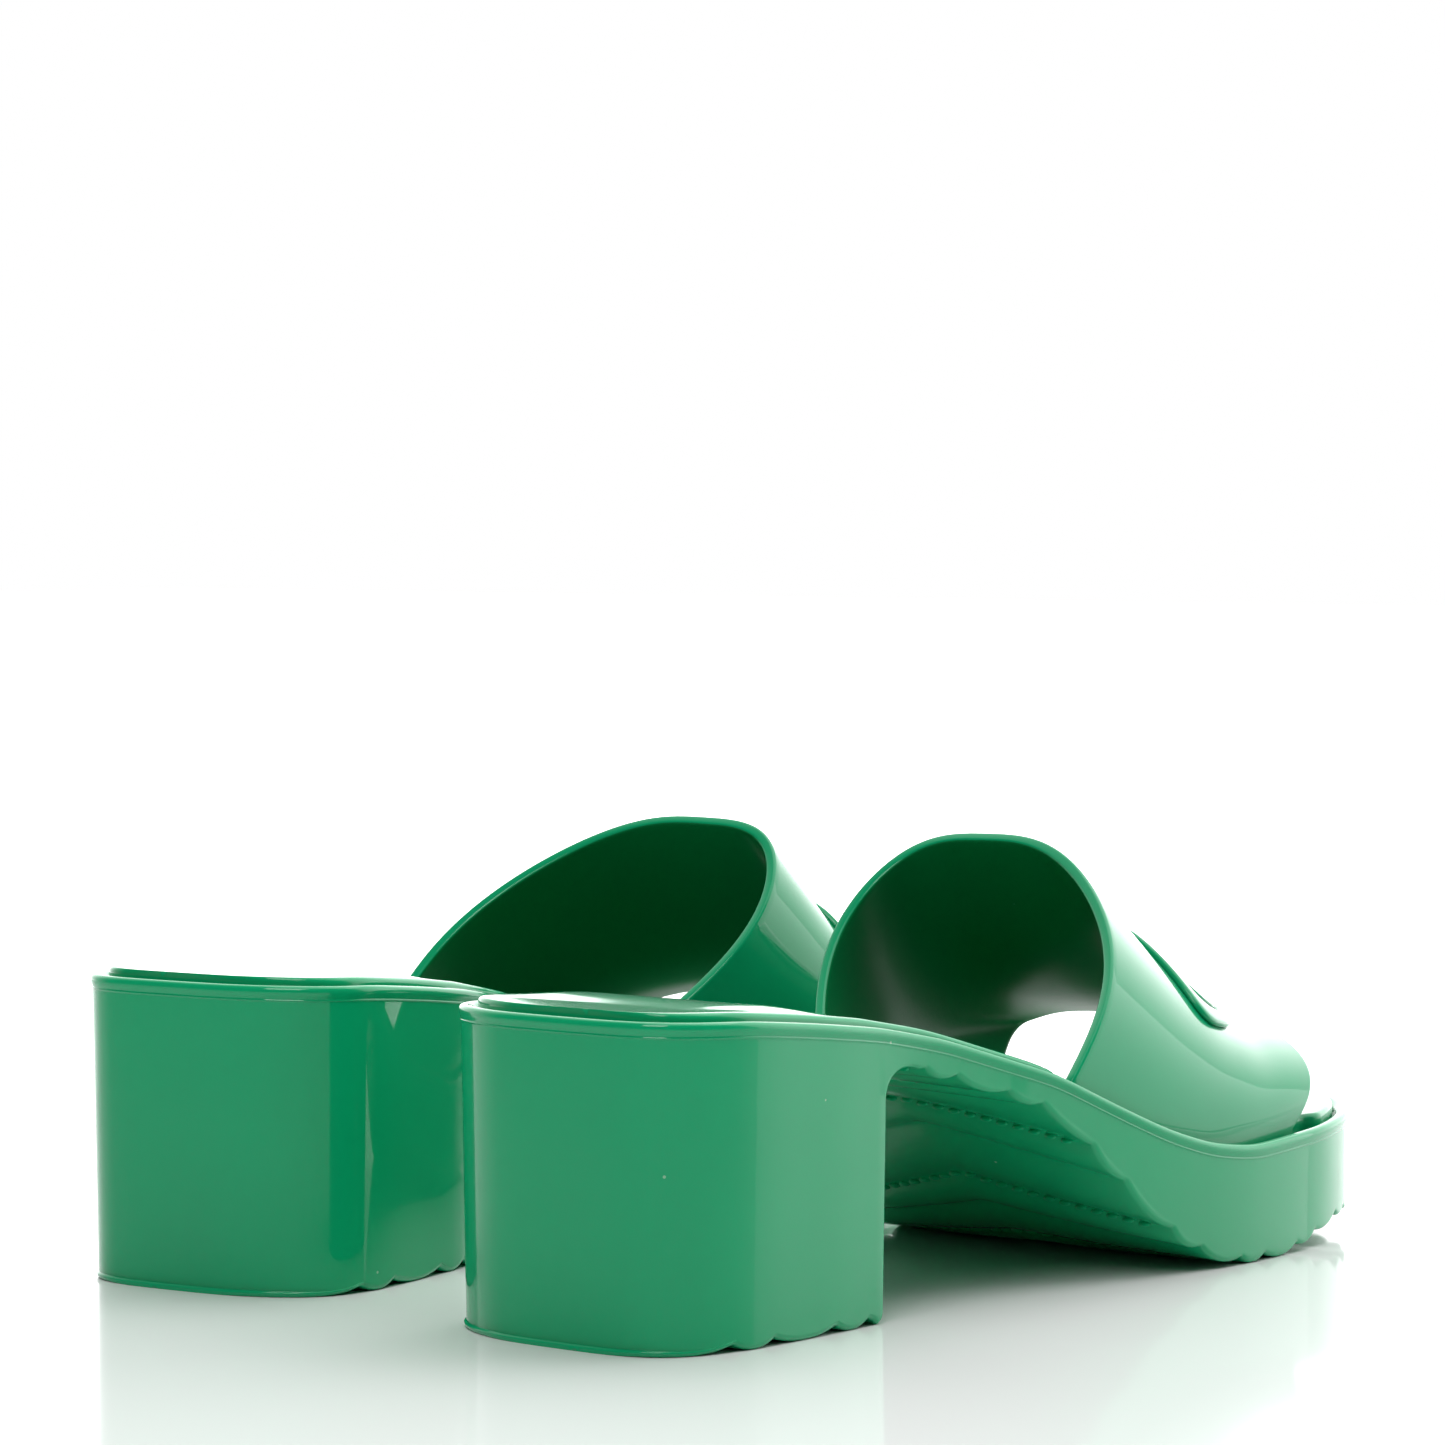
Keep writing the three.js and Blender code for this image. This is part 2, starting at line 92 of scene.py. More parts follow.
LEFT_SHIFT = (-104.6, 5.8)
LEFT_TURN = 0.09

# The sole's plan, as shares of its width and length, from the back of the heel round the lateral side.
PLAN = [
    (0, 0), (0.23, 0.009), (0.33, 0.064), (0.352, 0.168), (0.357, 0.3), (0.418, 0.447), (0.48, 0.592),
    (0.498, 0.712), (0.465, 0.828), (0.347, 0.926), (0.126, 0.986), (-0.127, 0.994), (-0.349, 0.947),
    (-0.477, 0.848), (-0.497, 0.72), (-0.421, 0.58), (-0.326, 0.44), (-0.312, 0.312), (-0.359, 0.18),
    (-0.365, 0.06), (-0.219, 0.01),
]

# The bead's crest: share of the length, share of the fall from the heel to the ball.
FALL = [
    (0, 0), (0.08, 0.016), (0.152, 0.063), (0.24, 0.132), (0.316, 0.229), (0.44, 0.47), (0.516, 0.69),
    (0.572, 0.842), (0.628, 0.95), (0.688, 1),
]


# ---- Curves ----------------------------------------------------------------------------------------

def mix(a, b, t):
    return a + (b - a) * t


def clamp(t):
    return min(max(t, 0.0), 1.0)


def smoothstep(t):
    t = clamp(t)
    return t * t * (3 - 2 * t)


def smooth_table(points, step=0.5, blur=4.0):
    """Heights along the shoe through the points, with the corners between them blurred away."""
    ys = np.arange(-20.0, SOLE_LENGTH + 20.0, step)
    zs = np.interp(ys, [p[0] for p in points], [p[1] for p in points])
    reach = np.arange(-3 * blur, 3 * blur + step, step)
    weight = np.exp(-0.5 * (reach / blur) ** 2)
    weight /= weight.sum()
    padded = np.pad(zs, len(reach) // 2, mode="edge")
    return ys, np.convolve(padded, weight, mode="valid")[: len(ys)]


CREST_POINTS = [(a * SOLE_LENGTH, mix(HEEL_HEIGHT, BALL_HEIGHT, f)) for a, f in FALL]
CREST_POINTS += [(0.74 * SOLE_LENGTH, BALL_HEIGHT + 0.2 * TOE_RISE), (SOLE_LENGTH, BALL_HEIGHT + TOE_RISE)]
CREST_Y, CREST_Z = smooth_table(CREST_POINTS)


def crest(y):
    return float(np.interp(y, CREST_Y, CREST_Z))


def plan_outline(count=1440):
    """The closed outline of the sole as smooth, evenly spaced points, and the outward normal at each."""
    control = np.array([(x * SOLE_WIDTH, y * SOLE_LENGTH) for x, y in PLAN])
    pieces = []
    n = len(control)
    for i in range(n):
        p0, p1, p2, p3 = (control[(i + k - 1) % n] for k in range(4))
        t = np.linspace(0, 1, 60, endpoint=False)[:, None]
        pieces.append(0.5 * (2 * p1 + (p2 - p0) * t + (2 * p0 - 5 * p1 + 4 * p2 - p3) * t ** 2
                             + (3 * p1 - p0 - 3 * p2 + p3) * t ** 3))
    dense = np.vstack(pieces)

    def even(points):
        closed = np.vstack([points, points[:1]])
        run = np.r_[0, np.cumsum(np.linalg.norm(np.diff(closed, axis=0), axis=1))]
        at = np.linspace(0, run[-1], count, endpoint=False)
        return np.column_stack([np.interp(at, run, closed[:, k]) for k in (0, 1)])

    def blurred(points, width):
        reach = np.arange(-3 * width, 3 * width + 1)
        weight = np.exp(-0.5 * (reach / width) ** 2)
        weight /= weight.sum()
        return sum(w * np.roll(points, -int(k), axis=0) for w, k in zip(weight, reach))

    points = even(dense)
    soft = blurred(points, 11)
    points = even(2 * soft - blurred(soft, 11))
    tangent = np.roll(points, -1, axis=0) - np.roll(points, 1, axis=0)
    normal = np.column_stack([tangent[:, 1], -tangent[:, 0]])
    return points, normal / np.linalg.norm(normal, axis=1)[:, None]


OUTLINE, OUTWARD = plan_outline()
BACK = int(np.argmin(OUTLINE[:, 1]))
TIP = int(np.argmax(OUTLINE[:, 1]))


def side_table(lateral):
    """y, x and outward normal along one side of the outline, from the heel's back to the toe's tip."""
    n = len(OUTLINE)
    if lateral:
        index = [(BACK + k) % n for k in range((TIP - BACK) % n + 1)]
    else:
        index = [(BACK - k) % n for k in range((BACK - TIP) % n + 1)]
    p = OUTLINE[index]
    keep = np.r_[True, np.diff(np.maximum.accumulate(p[:, 1])) > 1e-9]
    return np.column_stack([p[:, 1], p[:, 0], OUTWARD[index]])[keep]


LATERAL = side_table(True)
MEDIAL = side_table(False)
BACK_Y = float(OUTLINE[BACK, 1])
TIP_Y = float(OUTLINE[TIP, 1])


def side_point(table, y):
    """(point, outward normal) on one side of the outline at y."""
    row = [float(np.interp(y, table[:, 0], table[:, k])) for k in (1, 2, 3)]
    normal = Vector((row[1], row[2], 0)).normalized()
    return Vector((row[0], y, 0)), normal


def tread_lift(y):
    """The tread's grooves stand above the ground by the puff of its cushions; under the waist they don't."""
    ahead = smoothstep((y - 0.54 * SOLE_LENGTH) / (0.12 * SOLE_LENGTH))
    return PUFF * ahead if y > HEEL_BLOCK else PUFF


TREAD_START = 0.684 * SOLE_LENGTH
TREAD_END = 0.728 * SOLE_LENGTH
CURL_START = HEEL_BLOCK + 36


def underside(y):
    curl = clamp((y - CURL_START) / (TREAD_START - CURL_START))
    waist = (crest(y) - WAIST) * (1 - smoothstep(curl ** 1.3))
    fillet = clamp(1 - (y - HEEL_BLOCK) / BREAST_FILLET)
    drop = BREAST_FILLET * 0.8 * (1 - math.sqrt(max(1 - fillet * fillet, 0)))
    spring = TOE_SPRING * smoothstep((y - TREAD_END) / (0.86 * SOLE_LENGTH - TREAD_END))
    return max(waist - drop, 0.0) + spring


def cushion(x, y):
    """How far the quilted cushions swell between the V grooves, from 0 in a groove to 1."""
    first, pitch, second = HEEL_GROOVES if y < HEEL_BLOCK else TREAD_GROOVES
    run = y - GROOVE_SWEEP * math.sqrt(x * x + 1.0) - first
    inside = run - pitch * math.floor(run / pitch)
    if inside < second:
        share = inside / second
    else:
        share = (inside - second) / (pitch - second)
    return 1 - abs(2 * share - 1) ** 2.2


# ---- Placing the shoes -----------------------------------------------------------------------------

# The shank lies on the shoe's long axis and starts 30 mm in front of the heel's back.
SHANK_START = 30.0
SHANK_LOW, SHANK_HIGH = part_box("right_shank")
RIGHT_ORIGIN = Vector(((SHANK_LOW[0] + SHANK_HIGH[0]) / 2, SHANK_LOW[1] - SHANK_START * MM, 0))
RIGHT_PLACE = Matrix.Translation(RIGHT_ORIGIN) @ Matrix.Scale(MM, 4)
LEFT_PLACE = (
    Matrix.Translation(RIGHT_ORIGIN + Vector((*LEFT_SHIFT, 0)) * MM)
    @ Matrix.Rotation(LEFT_TURN, 4, "Z")
    @ Matrix.Scale(-1, 4, (1, 0, 0))
    @ Matrix.Scale(MM, 4)
)


# ---- Mesh helpers ----------------------------------------------------------------------------------

def grid(bm, columns, rows):
    """A grid of columns by rows faces; returns its vertices as vertices[row][column]."""
    made = bmesh.ops.create_grid(bm, x_segments=columns, y_segments=rows, size=1)["verts"]
    table = [[None] * (columns + 1) for _ in range(rows + 1)]
    for vertex in made:
        column = round((vertex.co.x + 1) / 2 * columns)
        row = round((vertex.co.y + 1) / 2 * rows)
        table[row][column] = vertex
    return table


def edges_between(pairs):
    return [edge for a, b in pairs for edge in a.link_edges if edge.other_vert(a) is b]


def open_edges(bm):
    return [edge for edge in bm.edges if len(edge.link_faces) == 1]


def pull(bm, edges, move):
    """Extrudes the edges and puts each new vertex where move(vertex) says; returns the new edges."""
    made = bmesh.ops.extrude_edge_only(bm, edges=edges)["geom"]
    for vertex in made:
        if isinstance(vertex, bmesh.types.BMVert):
            vertex.co = move(vertex)
    return [item for item in made if isinstance(item, bmesh.types.BMEdge)]


def finish_piece(name, bm, side, surfaces, node):
    """Turns a shape drawn in shoe millimetres into a placed, smooth-shaded piece of one shoe."""
    bm = bm.copy()
    bmesh.ops.transform(bm, matrix=RIGHT_PLACE if side == "right" else LEFT_PLACE, verts=bm.verts)
    bmesh.ops.recalc_face_normals(bm, faces=bm.faces)
    mesh = bpy.data.meshes.new(f"{side}_{name}")
    bm.to_mesh(mesh)
    bm.free()
    for polygon in mesh.polygons:
        polygon.use_smooth = True
    piece = bpy.data.objects.new(f"{side}_{name}", mesh)
    bpy.context.scene.collection.objects.link(piece)
    for surface in surfaces:
        mesh.materials.append(surface)
    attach(piece, f"{side}_shoe")
    if node:
        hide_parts(f"{side}_{node}")
    return piece


# ---- Sole ------------------------------------------------------------------------------------------

def rib_positions():
    """Where the ribs across the sole lie: close in the quilted part, closest at the rounded ends."""
    ys = set()
    for y in np.arange(BACK_Y + 5, HEEL_BLOCK - CORNER_ROUND - 0.3, 0.9):
        ys.add(round(float(y), 4))
    for y in np.arange(HEEL_BLOCK + BREAST_FILLET, SOLE_LENGTH - 9, 0.62):
        ys.add(round(float(y), 4))
    for table in (LATERAL, MEDIAL):
        for y in table[::3, 0]:
            if y < BACK_Y + 6 or y > SOLE_LENGTH - 10:
                ys.add(round(float(y), 4))
    ordered = []
    for y in sorted(ys):
        if BACK_Y + 0.002 < y < TIP_Y - 0.002 and (not ordered or y - ordered[-1] > 0.004):
            ordered.append(y)
    return ordered


def base_path():
    """The sole's lower side, from back to toe, as (y, z, way out in y, way out in z, groove share)."""
    path = [(BACK_Y, 0.0, 0.0, -1.0, 0.0)]
    ribs = rib_positions()
    corner = HEEL_BLOCK - CORNER_ROUND
    path += [(y, 0.0, 0.0, -1.0, smoothstep((y - BACK_Y) / 2)) for y in ribs if y < corner]
    for k in range(7):
        a = math.radians(90 * k / 6)
        path.append((corner + CORNER_ROUND * math.sin(a), CORNER_ROUND * (1 - math.cos(a)),
                     math.sin(a), -math.cos(a), 0.0))
    top = underside(HEEL_BLOCK + 0.01)
    for share in (0.2, 0.4, 0.6, 0.8, 1.0):
        path.append((HEEL_BLOCK, mix(CORNER_ROUND, top, share), 1.0, 0.0, 0.0))
    for k in range(1, 13):
        fillet = 1 - math.cos(math.radians(90 * k / 12))
        y = HEEL_BLOCK + BREAST_FILLET * fillet
        a = math.radians(90 * k / 12)
        path.append((y, underside(y), math.cos(a), -math.sin(a), 0.3 * k / 12))
    for y in ribs:
        if y > HEEL_BLOCK + BREAST_FILLET:
            slope = (underside(y + 0.5) - underside(y - 0.5)) / 1.0
            size = math.hypot(1, slope)
            fade = clamp(0.3 + (y - HEEL_BLOCK - BREAST_FILLET) / 4) * smoothstep((TIP_Y - y) / 3)
            path.append((y, underside(y), slope / size, -1 / size, fade))
    path.append((TIP_Y, underside(TIP_Y), 0.0, -1.0, 0.0))
    return path


def wall_base(point, normal, z, y):
    """A point of the wall, let in by the heel's draft."""
    depth = max(crest(y) - z, 0) / HEEL_HEIGHT
    return point - normal * (HEEL_DRAFT * depth)


SOLE_COLUMNS = 40
ROUNDING_STEPS = 5

BEAD_SECTION = [
    # out from the wall, up from the crest
    (0.0, -3.3), (0.0, -3.02), (0.16, -2.94), (0.16, -2.84), (0.0, -2.74), (0.04, -2.5), (0.2, -2.1),
    (0.34, -1.6), (0.38, -1.1), (0.26, -0.6), (-0.04, -0.22), (-0.5, -0.03), (-1.0, 0.0), (-1.6, -0.1),
    (-2.2, -0.45), (-2.7, -1.0), (-2.95, -1.7), (-3.0, -2.6),
]


def rib_end(column, steps, size):
    """Distance in from the edge and drop of the surface, along the rounded edge of a rib."""
    turn = math.radians(90 * column / steps)
    return size * (1 - math.cos(turn)), size * (1 - math.sin(turn))


def make_sole():
    """The quilted underside, the heel's and platform's walls, the bead, and the floor under the footbed."""
    bm = bmesh.new()
    column_of = bm.verts.layers.int.new("column")
    path = base_path()
    inner = SOLE_COLUMNS
    rounding = ROUNDING_STEPS
    columns = inner + 2 * rounding
    rows = len(path) - 1
    table = grid(bm, columns, rows)
    sides = []
    for row, (y, z, out_y, out_z, groove) in enumerate(path):
        lateral, lateral_out = side_point(LATERAL, y - EDGE_ROUND * out_y)
        medial, medial_out = side_point(MEDIAL, y - EDGE_ROUND * out_y)
        tip = row == 0 or row == rows
        if tip:
            medial, medial_out = lateral, lateral_out
        sides += [(medial, medial_out), (lateral, lateral_out)]
        left = wall_base(medial, medial_out, z, y)
        right = wall_base(lateral, lateral_out, z, y)
        width = max((right - left).length, 1e-6)
        round_to = min(EDGE_ROUND, 0.3 * width)
        for column in range(columns + 1):
            if column <= rounding:
                distance, lift = rib_end(column, rounding, round_to)
                share = distance / width
            elif column >= columns - rounding:
                distance, lift = rib_end(columns - column, rounding, round_to)
                share = 1 - distance / width
            else:
                lift = 0.0
                edge = round_to / width
                share = mix(edge, 1 - edge, (column - rounding) / inner)
            point = left.lerp(right, share)
            cushioned = cushion(point.x, y)
            if y > HEEL_BLOCK:
                proud = PUFF * groove * cushioned - lift
                raised = tread_lift(y) * groove if out_z < -0.5 else 0.0
            else:
                proud = PUFF * groove * (cushioned - 1) - lift
                raised = 0.0
            on_edge = lift >= round_to * 0.999
            ahead = y - EDGE_ROUND * out_y if on_edge else y + out_y * proud
            vertex = table[row][column]
            vertex.co = Vector((point.x, ahead, max(z + out_z * proud + raised, 0.0)))
            if tip:
                vertex.co = Vector((lateral.x, lateral.y, max(z + EDGE_ROUND, 0)))
            vertex[column_of] = 2 * row + (1 if column > columns / 2 else 0)
    for row in (0, rows):
        for vertex in table[row]:
            vertex[column_of] = 2 * row

    # The side walls: the heel's first, level by level up to the fillet, then both up to the bead.
    breast = [row for row, p in enumerate(path) if p[2] > 0.999 and p[0] >= HEEL_BLOCK - 1e-6]
    first_up = next(row for row, p in enumerate(path) if p[0] > HEEL_BLOCK - CORNER_ROUND - 1e-6)
    last_up = breast[-1]
    heel_edges = edges_between(
        [(table[row][c], table[row + 1][c]) for row in range(first_up) for c in (0, columns)]
    )
    low = table[first_up][0].co.z
    high = table[last_up][0].co.z
    hem = {}
    for row in range(first_up + 1):
        for k, column in enumerate((0, columns)):
            hem[2 * row + k] = table[row][column].co.z
    hem[1] = hem[0]
    for row in range(first_up + 1, last_up + 1):
        share = (table[row][0].co.z - low) / (high - low)

        def lifted(vertex, share=share, row=row):
            place = vertex[column_of]
            if place // 2 == first_up:
                return table[row][columns if place % 2 else 0].co.copy()
            level = mix(hem[place], high, share)
            point, normal = sides[place]
            base = wall_base(point, normal, level, point.y)
            return Vector((base.x, base.y, level))

        heel_edges = pull(bm, heel_edges, lifted)
    for edge in heel_edges:
        for vertex in edge.verts:
            if vertex[column_of] // 2 == first_up:
                vertex[column_of] = 2 * last_up + vertex[column_of] % 2
    sole_edges = edges_between(
        [(table[row][c], table[row + 1][c]) for row in range(last_up, rows) for c in (0, columns)]
    )

    def at_section(out, up):
        def moved(vertex):
            point, normal = sides[vertex[column_of]]
            place = point + normal * out
            return Vector((place.x, place.y, crest(point.y) + up))
        return moved

    rim = pull(bm, heel_edges + sole_edges, lambda vertex: vertex.co + Vector((0, 0, 0.7)))
    rim = pull(bm, rim, at_section(*BEAD_SECTION[0]))
    for out, up in BEAD_SECTION[1:]:
        rim = pull(bm, rim, at_section(out, up))
    floor = grid(bm, 2, rows)
    for row in range(rows + 1):
        ends = []
        for k in (0, 1):
            point, normal = sides[2 * row + k]
            out, up = BEAD_SECTION[-1]
            place = point + normal * out
            ends.append(Vector((place.x, place.y, crest(point.y) + up)))
        if row in (0, rows):
            ends[0] = ends[1]
        for column in range(3):
            floor[row][column].co = ends[0].lerp(ends[1], column / 2)
    bmesh.ops.remove_doubles(bm, verts=bm.verts, dist=0.002)
    bmesh.ops.dissolve_degenerate(bm, edges=bm.edges, dist=0.0005)
    return bm


# ---- Footbed ---------------------------------------------------------------------------------------

def footbed_inset(y):
    """The footbed is let in further beside the band's feet."""
    beside = smoothstep((y - 112) / 5) * (1 - smoothstep((y - 204) / 6))
    return mix(BEAD_WIDTH + 0.35, BEAD_WIDTH + BAND_WALL + 0.8, beside)


FOOTBED_DISH = 1.0
FOOTBED_EDGE = 1.3
FOOTBED_COLUMNS = 36


def make_footbed():
    """The footbed: level over the back of the heel, then dished a little along the middle."""
    bm = bmesh.new()
    ys = [BACK_Y + 0.0005] + rib_positions()[::2] + [TIP_Y - 0.0005]
    rounding = ROUNDING_STEPS
    inner = FOOTBED_COLUMNS
    columns = inner + 2 * rounding + 2
    rows = len(ys) - 1
    table = grid(bm, columns, rows)
    hem = -SEAT_DEPTH - FOOTBED_PROUD + 0.3
    for row, y in enumerate(ys):
        ends = []
        for side_rows in (MEDIAL, LATERAL):
            point, normal = side_point(side_rows, y)
            ends.append(point - normal * footbed_inset(y))
        tip = row in (0, rows)
        if tip:
            ends[0] = ends[1]
        left, right = ends
        width = max((right - left).length, 1e-6)
        reach = min(FOOTBED_EDGE, 0.3 * width)
        low = reach / width
        dish = FOOTBED_DISH * smoothstep((y - 30) / 50) * smoothstep((width - 20) / 30)
        level = (crest(14) - crest(max(y, 14))) * (1 - smoothstep((y - 22) / 38))
        for column in range(columns + 1):
            side = min(column, columns - column)
            if side == 0:
                share, up = 0.0, hem
            elif side <= rounding + 1:
                turn = math.radians(90 * (side - 1) / rounding)
                share = reach * (1 - math.cos(turn)) / width
                up = -FOOTBED_EDGE * (1 - math.sin(turn))
            else:
                share = mix(low, 1 - low, (column - rounding - 1) / inner)
                up = 0.0
            if side <= rounding + 1 and column > columns / 2:
                share = 1 - share
            point = left.lerp(right, share)
            middle = 1 - (2 * share - 1) ** 2
            up += level * smoothstep(middle / 0.6) - dish * middle ** 1.5
            if tip:
                up = -FOOTBED_EDGE if side else hem
            table[row][column].co = Vector((point.x, point.y, crest(point.y) + FOOTBED_PROUD + up))
    bmesh.ops.remove_doubles(bm, verts=bm.verts, dist=0.001)
    pull(bm, open_edges(bm), lambda vertex: vertex.co + Vector((0, 0, -0.01)))
    return bm


# ---- Band ------------------------------------------------------------------------------------------

def half_breadth(y, table):
    return float(np.interp(y, table[:, 0], table[:, 1]))


def band_point(along, turn):
    """A point of the band's outer face: along from the rear arch to the toe arch, turn from foot to foot."""
    arch = {key: mix(REAR_ARCH[key], TOE_ARCH[key], along) for key in REAR_ARCH}
    middle = 4 * along * (1 - along)
    height = arch["height"] - middle * INSTEP_SAG
    angle = min(max(turn, 1e-6), 1 - 1e-6) * math.pi
    cosine = math.cos(angle)
    over = math.copysign(abs(cosine) ** (2 / arch["squareness"]), cosine)
    up = math.sin(angle) ** (2 / arch["squareness"])
    lateral = (1 + over) / 2
    lateral_x = half_breadth(arch["lateral_foot"], LATERAL) - BEAD_WIDTH - 0.3
    medial_x = half_breadth(arch["medial_foot"], MEDIAL) + BEAD_WIDTH + 0.3
    bulge = (arch["lateral_bulge"] if lateral > 0.5 else -arch["medial_bulge"]) * abs(over)
    lean = mix(arch["medial_lean"], arch["lateral_lean"], lateral) + middle * INSTEP_LEAN
    foot = mix(crest(arch["medial_foot"]), crest(arch["lateral_foot"]), lateral)
    return Vector((
        mix(medial_x, lateral_x, lateral) + arch["skew"] * up + bulge * math.sin(math.pi * up),
        mix(arch["medial_foot"], arch["lateral_foot"], lateral) + lean * up,
        foot + height * up,
    ))


def band_normal(along, turn):
    delta = 0.01
    ahead = band_point(min(along + delta, 1), turn) - band_point(max(along - delta, 0), turn)
    around = band_point(along, min(turn + delta, 0.999)) - band_point(along, max(turn - delta, 0.001))
    return ahead.cross(around).normalized()


def make_band():
    bm = bmesh.new()
    columns = 112
    rows = 44
    drop = 3
    table = grid(bm, columns + 2 * drop, rows)
    for row in range(rows + 1):
        along = row / rows
        for column in range(columns + 2 * drop + 1):
            share = min(max((column - drop) / columns, 0), 1)
            turn = share - 0.1 * math.sin(2 * math.pi * share)
            point = band_point(along, turn)
            below = max(drop - column, column - columns - drop, 0) / drop
            table[row][column].co = point - Vector((0, 0, BAND_TUCK * below))
    bmesh.ops.recalc_face_normals(bm, faces=bm.faces)
    top = max(bm.verts, key=lambda vertex: vertex.co.z)
    if top.normal.z < 0:
        bmesh.ops.reverse_faces(bm, faces=bm.faces)
    bmesh.ops.smooth_vert(bm, verts=[v for v in bm.verts if not v.is_boundary], factor=0.5,
                          use_axis_x=True, use_axis_y=True, use_axis_z=True)
    outer_faces = set(bm.faces)
    bmesh.ops.solidify(bm, geom=bm.faces[:], thickness=BAND_WALL)
    # The inside faces take the second material, the band rubber darkened as painted shade.
    for face in bm.faces:
        beside = {other for edge in face.edges for other in edge.link_faces}
        face.material_index = 0 if beside & outer_faces else 1
    bm.normal_update()
    rims = [edge for edge in bm.edges
            if len(edge.link_faces) == 2 and edge.calc_face_angle(0) > math.radians(55)]
    bmesh.ops.bevel(bm, geom=rims, offset=0.65, offset_type="OFFSET", segments=4, profile=0.5,
                    affect="EDGES", material=-1, clamp_overlap=False)
    return bm


# ---- Emblem ----------------------------------------------------------------------------------------

EMBLEM_ALONG = 0.49
EMBLEM_LATERAL = 2.0
EMBLEM_ROUNDNESS = 2.8
OUTER_OVAL = (36.0, 72.0, 0.0)
INNER_OVAL = (24.0, 64.0, 2.5)
RING_STRIP = 2.4
RING_PROUD = 1.7


def across_to_turn(across, along):
    """The turn at which the band lies across mm to the medial side of the middle of its arch."""
    span = (band_point(along, 0) - band_point(along, 1)).length / 2
    squareness = mix(REAR_ARCH["squareness"], TOE_ARCH["squareness"], along)
    share = clamp(abs(across) / span)
    return math.acos(-math.copysign(share ** (squareness / 2), across)) / math.pi


def on_band(a, b, height):
    """The place a mm along the band and b mm across it from the emblem's centre, height off the band."""
    along = EMBLEM_ALONG + a / BAND_RUN
    turn = across_to_turn(b, along)
    return band_point(along, turn) + band_normal(along, turn) * height


BAND_RUN = (band_point(EMBLEM_ALONG + 0.02, 0.5) - band_point(EMBLEM_ALONG - 0.02, 0.5)).length / 0.04


def oval_point(angle, length, width):
    """A point of an oval that is squarer than an ellipse."""
    power = 2 / EMBLEM_ROUNDNESS
    a = math.copysign(abs(math.cos(angle)) ** power, math.cos(angle)) * length / 2
    b = math.copysign(abs(math.sin(angle)) ** power, math.sin(angle)) * width / 2
    return a, b


def make_ring(length, width, forward):
    """A raised oval strip with a domed top that follows the band."""
    bm = bmesh.new()
    section = bmesh.ops.create_circle(bm, segments=12, radius=0.5)["verts"]
    bmesh.ops.rotate(bm, verts=section, cent=(0, 0, 0), matrix=Matrix.Rotation(math.pi / 2, 3, "X"))
    bmesh.ops.translate(bm, verts=section, vec=(10, 0, 0))
    bmesh.ops.spin(bm, geom=bm.verts[:] + bm.edges[:], cent=(0, 0, 0), axis=(0, 0, 1), dvec=(0, 0, 0),
                   angle=2 * math.pi, steps=160, use_merge=True, use_duplicate=False)
    for vertex in bm.verts:
        out = (math.hypot(vertex.co.x, vertex.co.y) - 10) * 2
        rise = vertex.co.z * 2
        turn = math.atan2(vertex.co.y, vertex.co.x)
        inset = RING_STRIP / 2 * (1 - math.copysign(abs(out) ** 0.6, out))
        height = RING_PROUD * (0.5 + 0.5 * math.copysign(abs(rise) ** 0.6, rise))
        a, b = oval_point(turn, length - 2 * inset, width - 2 * inset)
        vertex.co = on_band(a + forward, b - EMBLEM_LATERAL, height - 0.2)
    bmesh.ops.remove_doubles(bm, verts=bm.verts, dist=0.0005)
    return bm


# ---- Stitches --------------------------------------------------------------------------------------

STITCH_SIZE = (3.1, 1.25, 1.3)
STITCH_PROUD = 0.45
STITCH_SLANT = 0.3


def make_stitches():
    """Moulded stitches that lie in the first groove of each pair, from the point to both edges."""
    bm = bmesh.new()
    spacing = 3.3
    for pair in range(-3, 6):
        apex = FIRST_GROOVE + pair * GROOVE_PITCH
        for side, edge_table in ((1, LATERAL), (-1, MEDIAL)):
            for k in range(16):
                x = side * (2.0 + spacing * k)
                y = apex + GROOVE_SWEEP * abs(x)
                if not HEEL_BLOCK + 4 < y < SOLE_LENGTH - 12:
                    continue
                if abs(x) > abs(half_breadth(y, edge_table)) - 3.2:
                    continue
                slope = (underside(y + 1) - underside(y - 1)) / 2
                z = underside(y) + tread_lift(y) - STITCH_PROUD
                made = bmesh.ops.create_uvsphere(bm, u_segments=8, v_segments=5, radius=0.5)["verts"]
                heading = math.atan2(GROOVE_SWEEP, side) - side * STITCH_SLANT
                place = (
                    Matrix.Translation((x, y, z))
                    @ Matrix.Rotation(math.atan(slope), 4, "X")
                    @ Matrix.Rotation(heading, 4, "Z")
                    @ Matrix.Diagonal((*STITCH_SIZE, 1))
                )
                bmesh.ops.transform(bm, matrix=place, verts=made)
    return bm


# ---- Materials -------------------------------------------------------------------------------------

def new_material(name):
    material = bpy.data.materials.new(name)
    material.use_nodes = True
    tree = material.node_tree
    shader = tree.nodes["Principled BSDF"]
    coords = tree.nodes.new("ShaderNodeTexCoord")
    return material, tree, shader, coords.outputs["Object"]


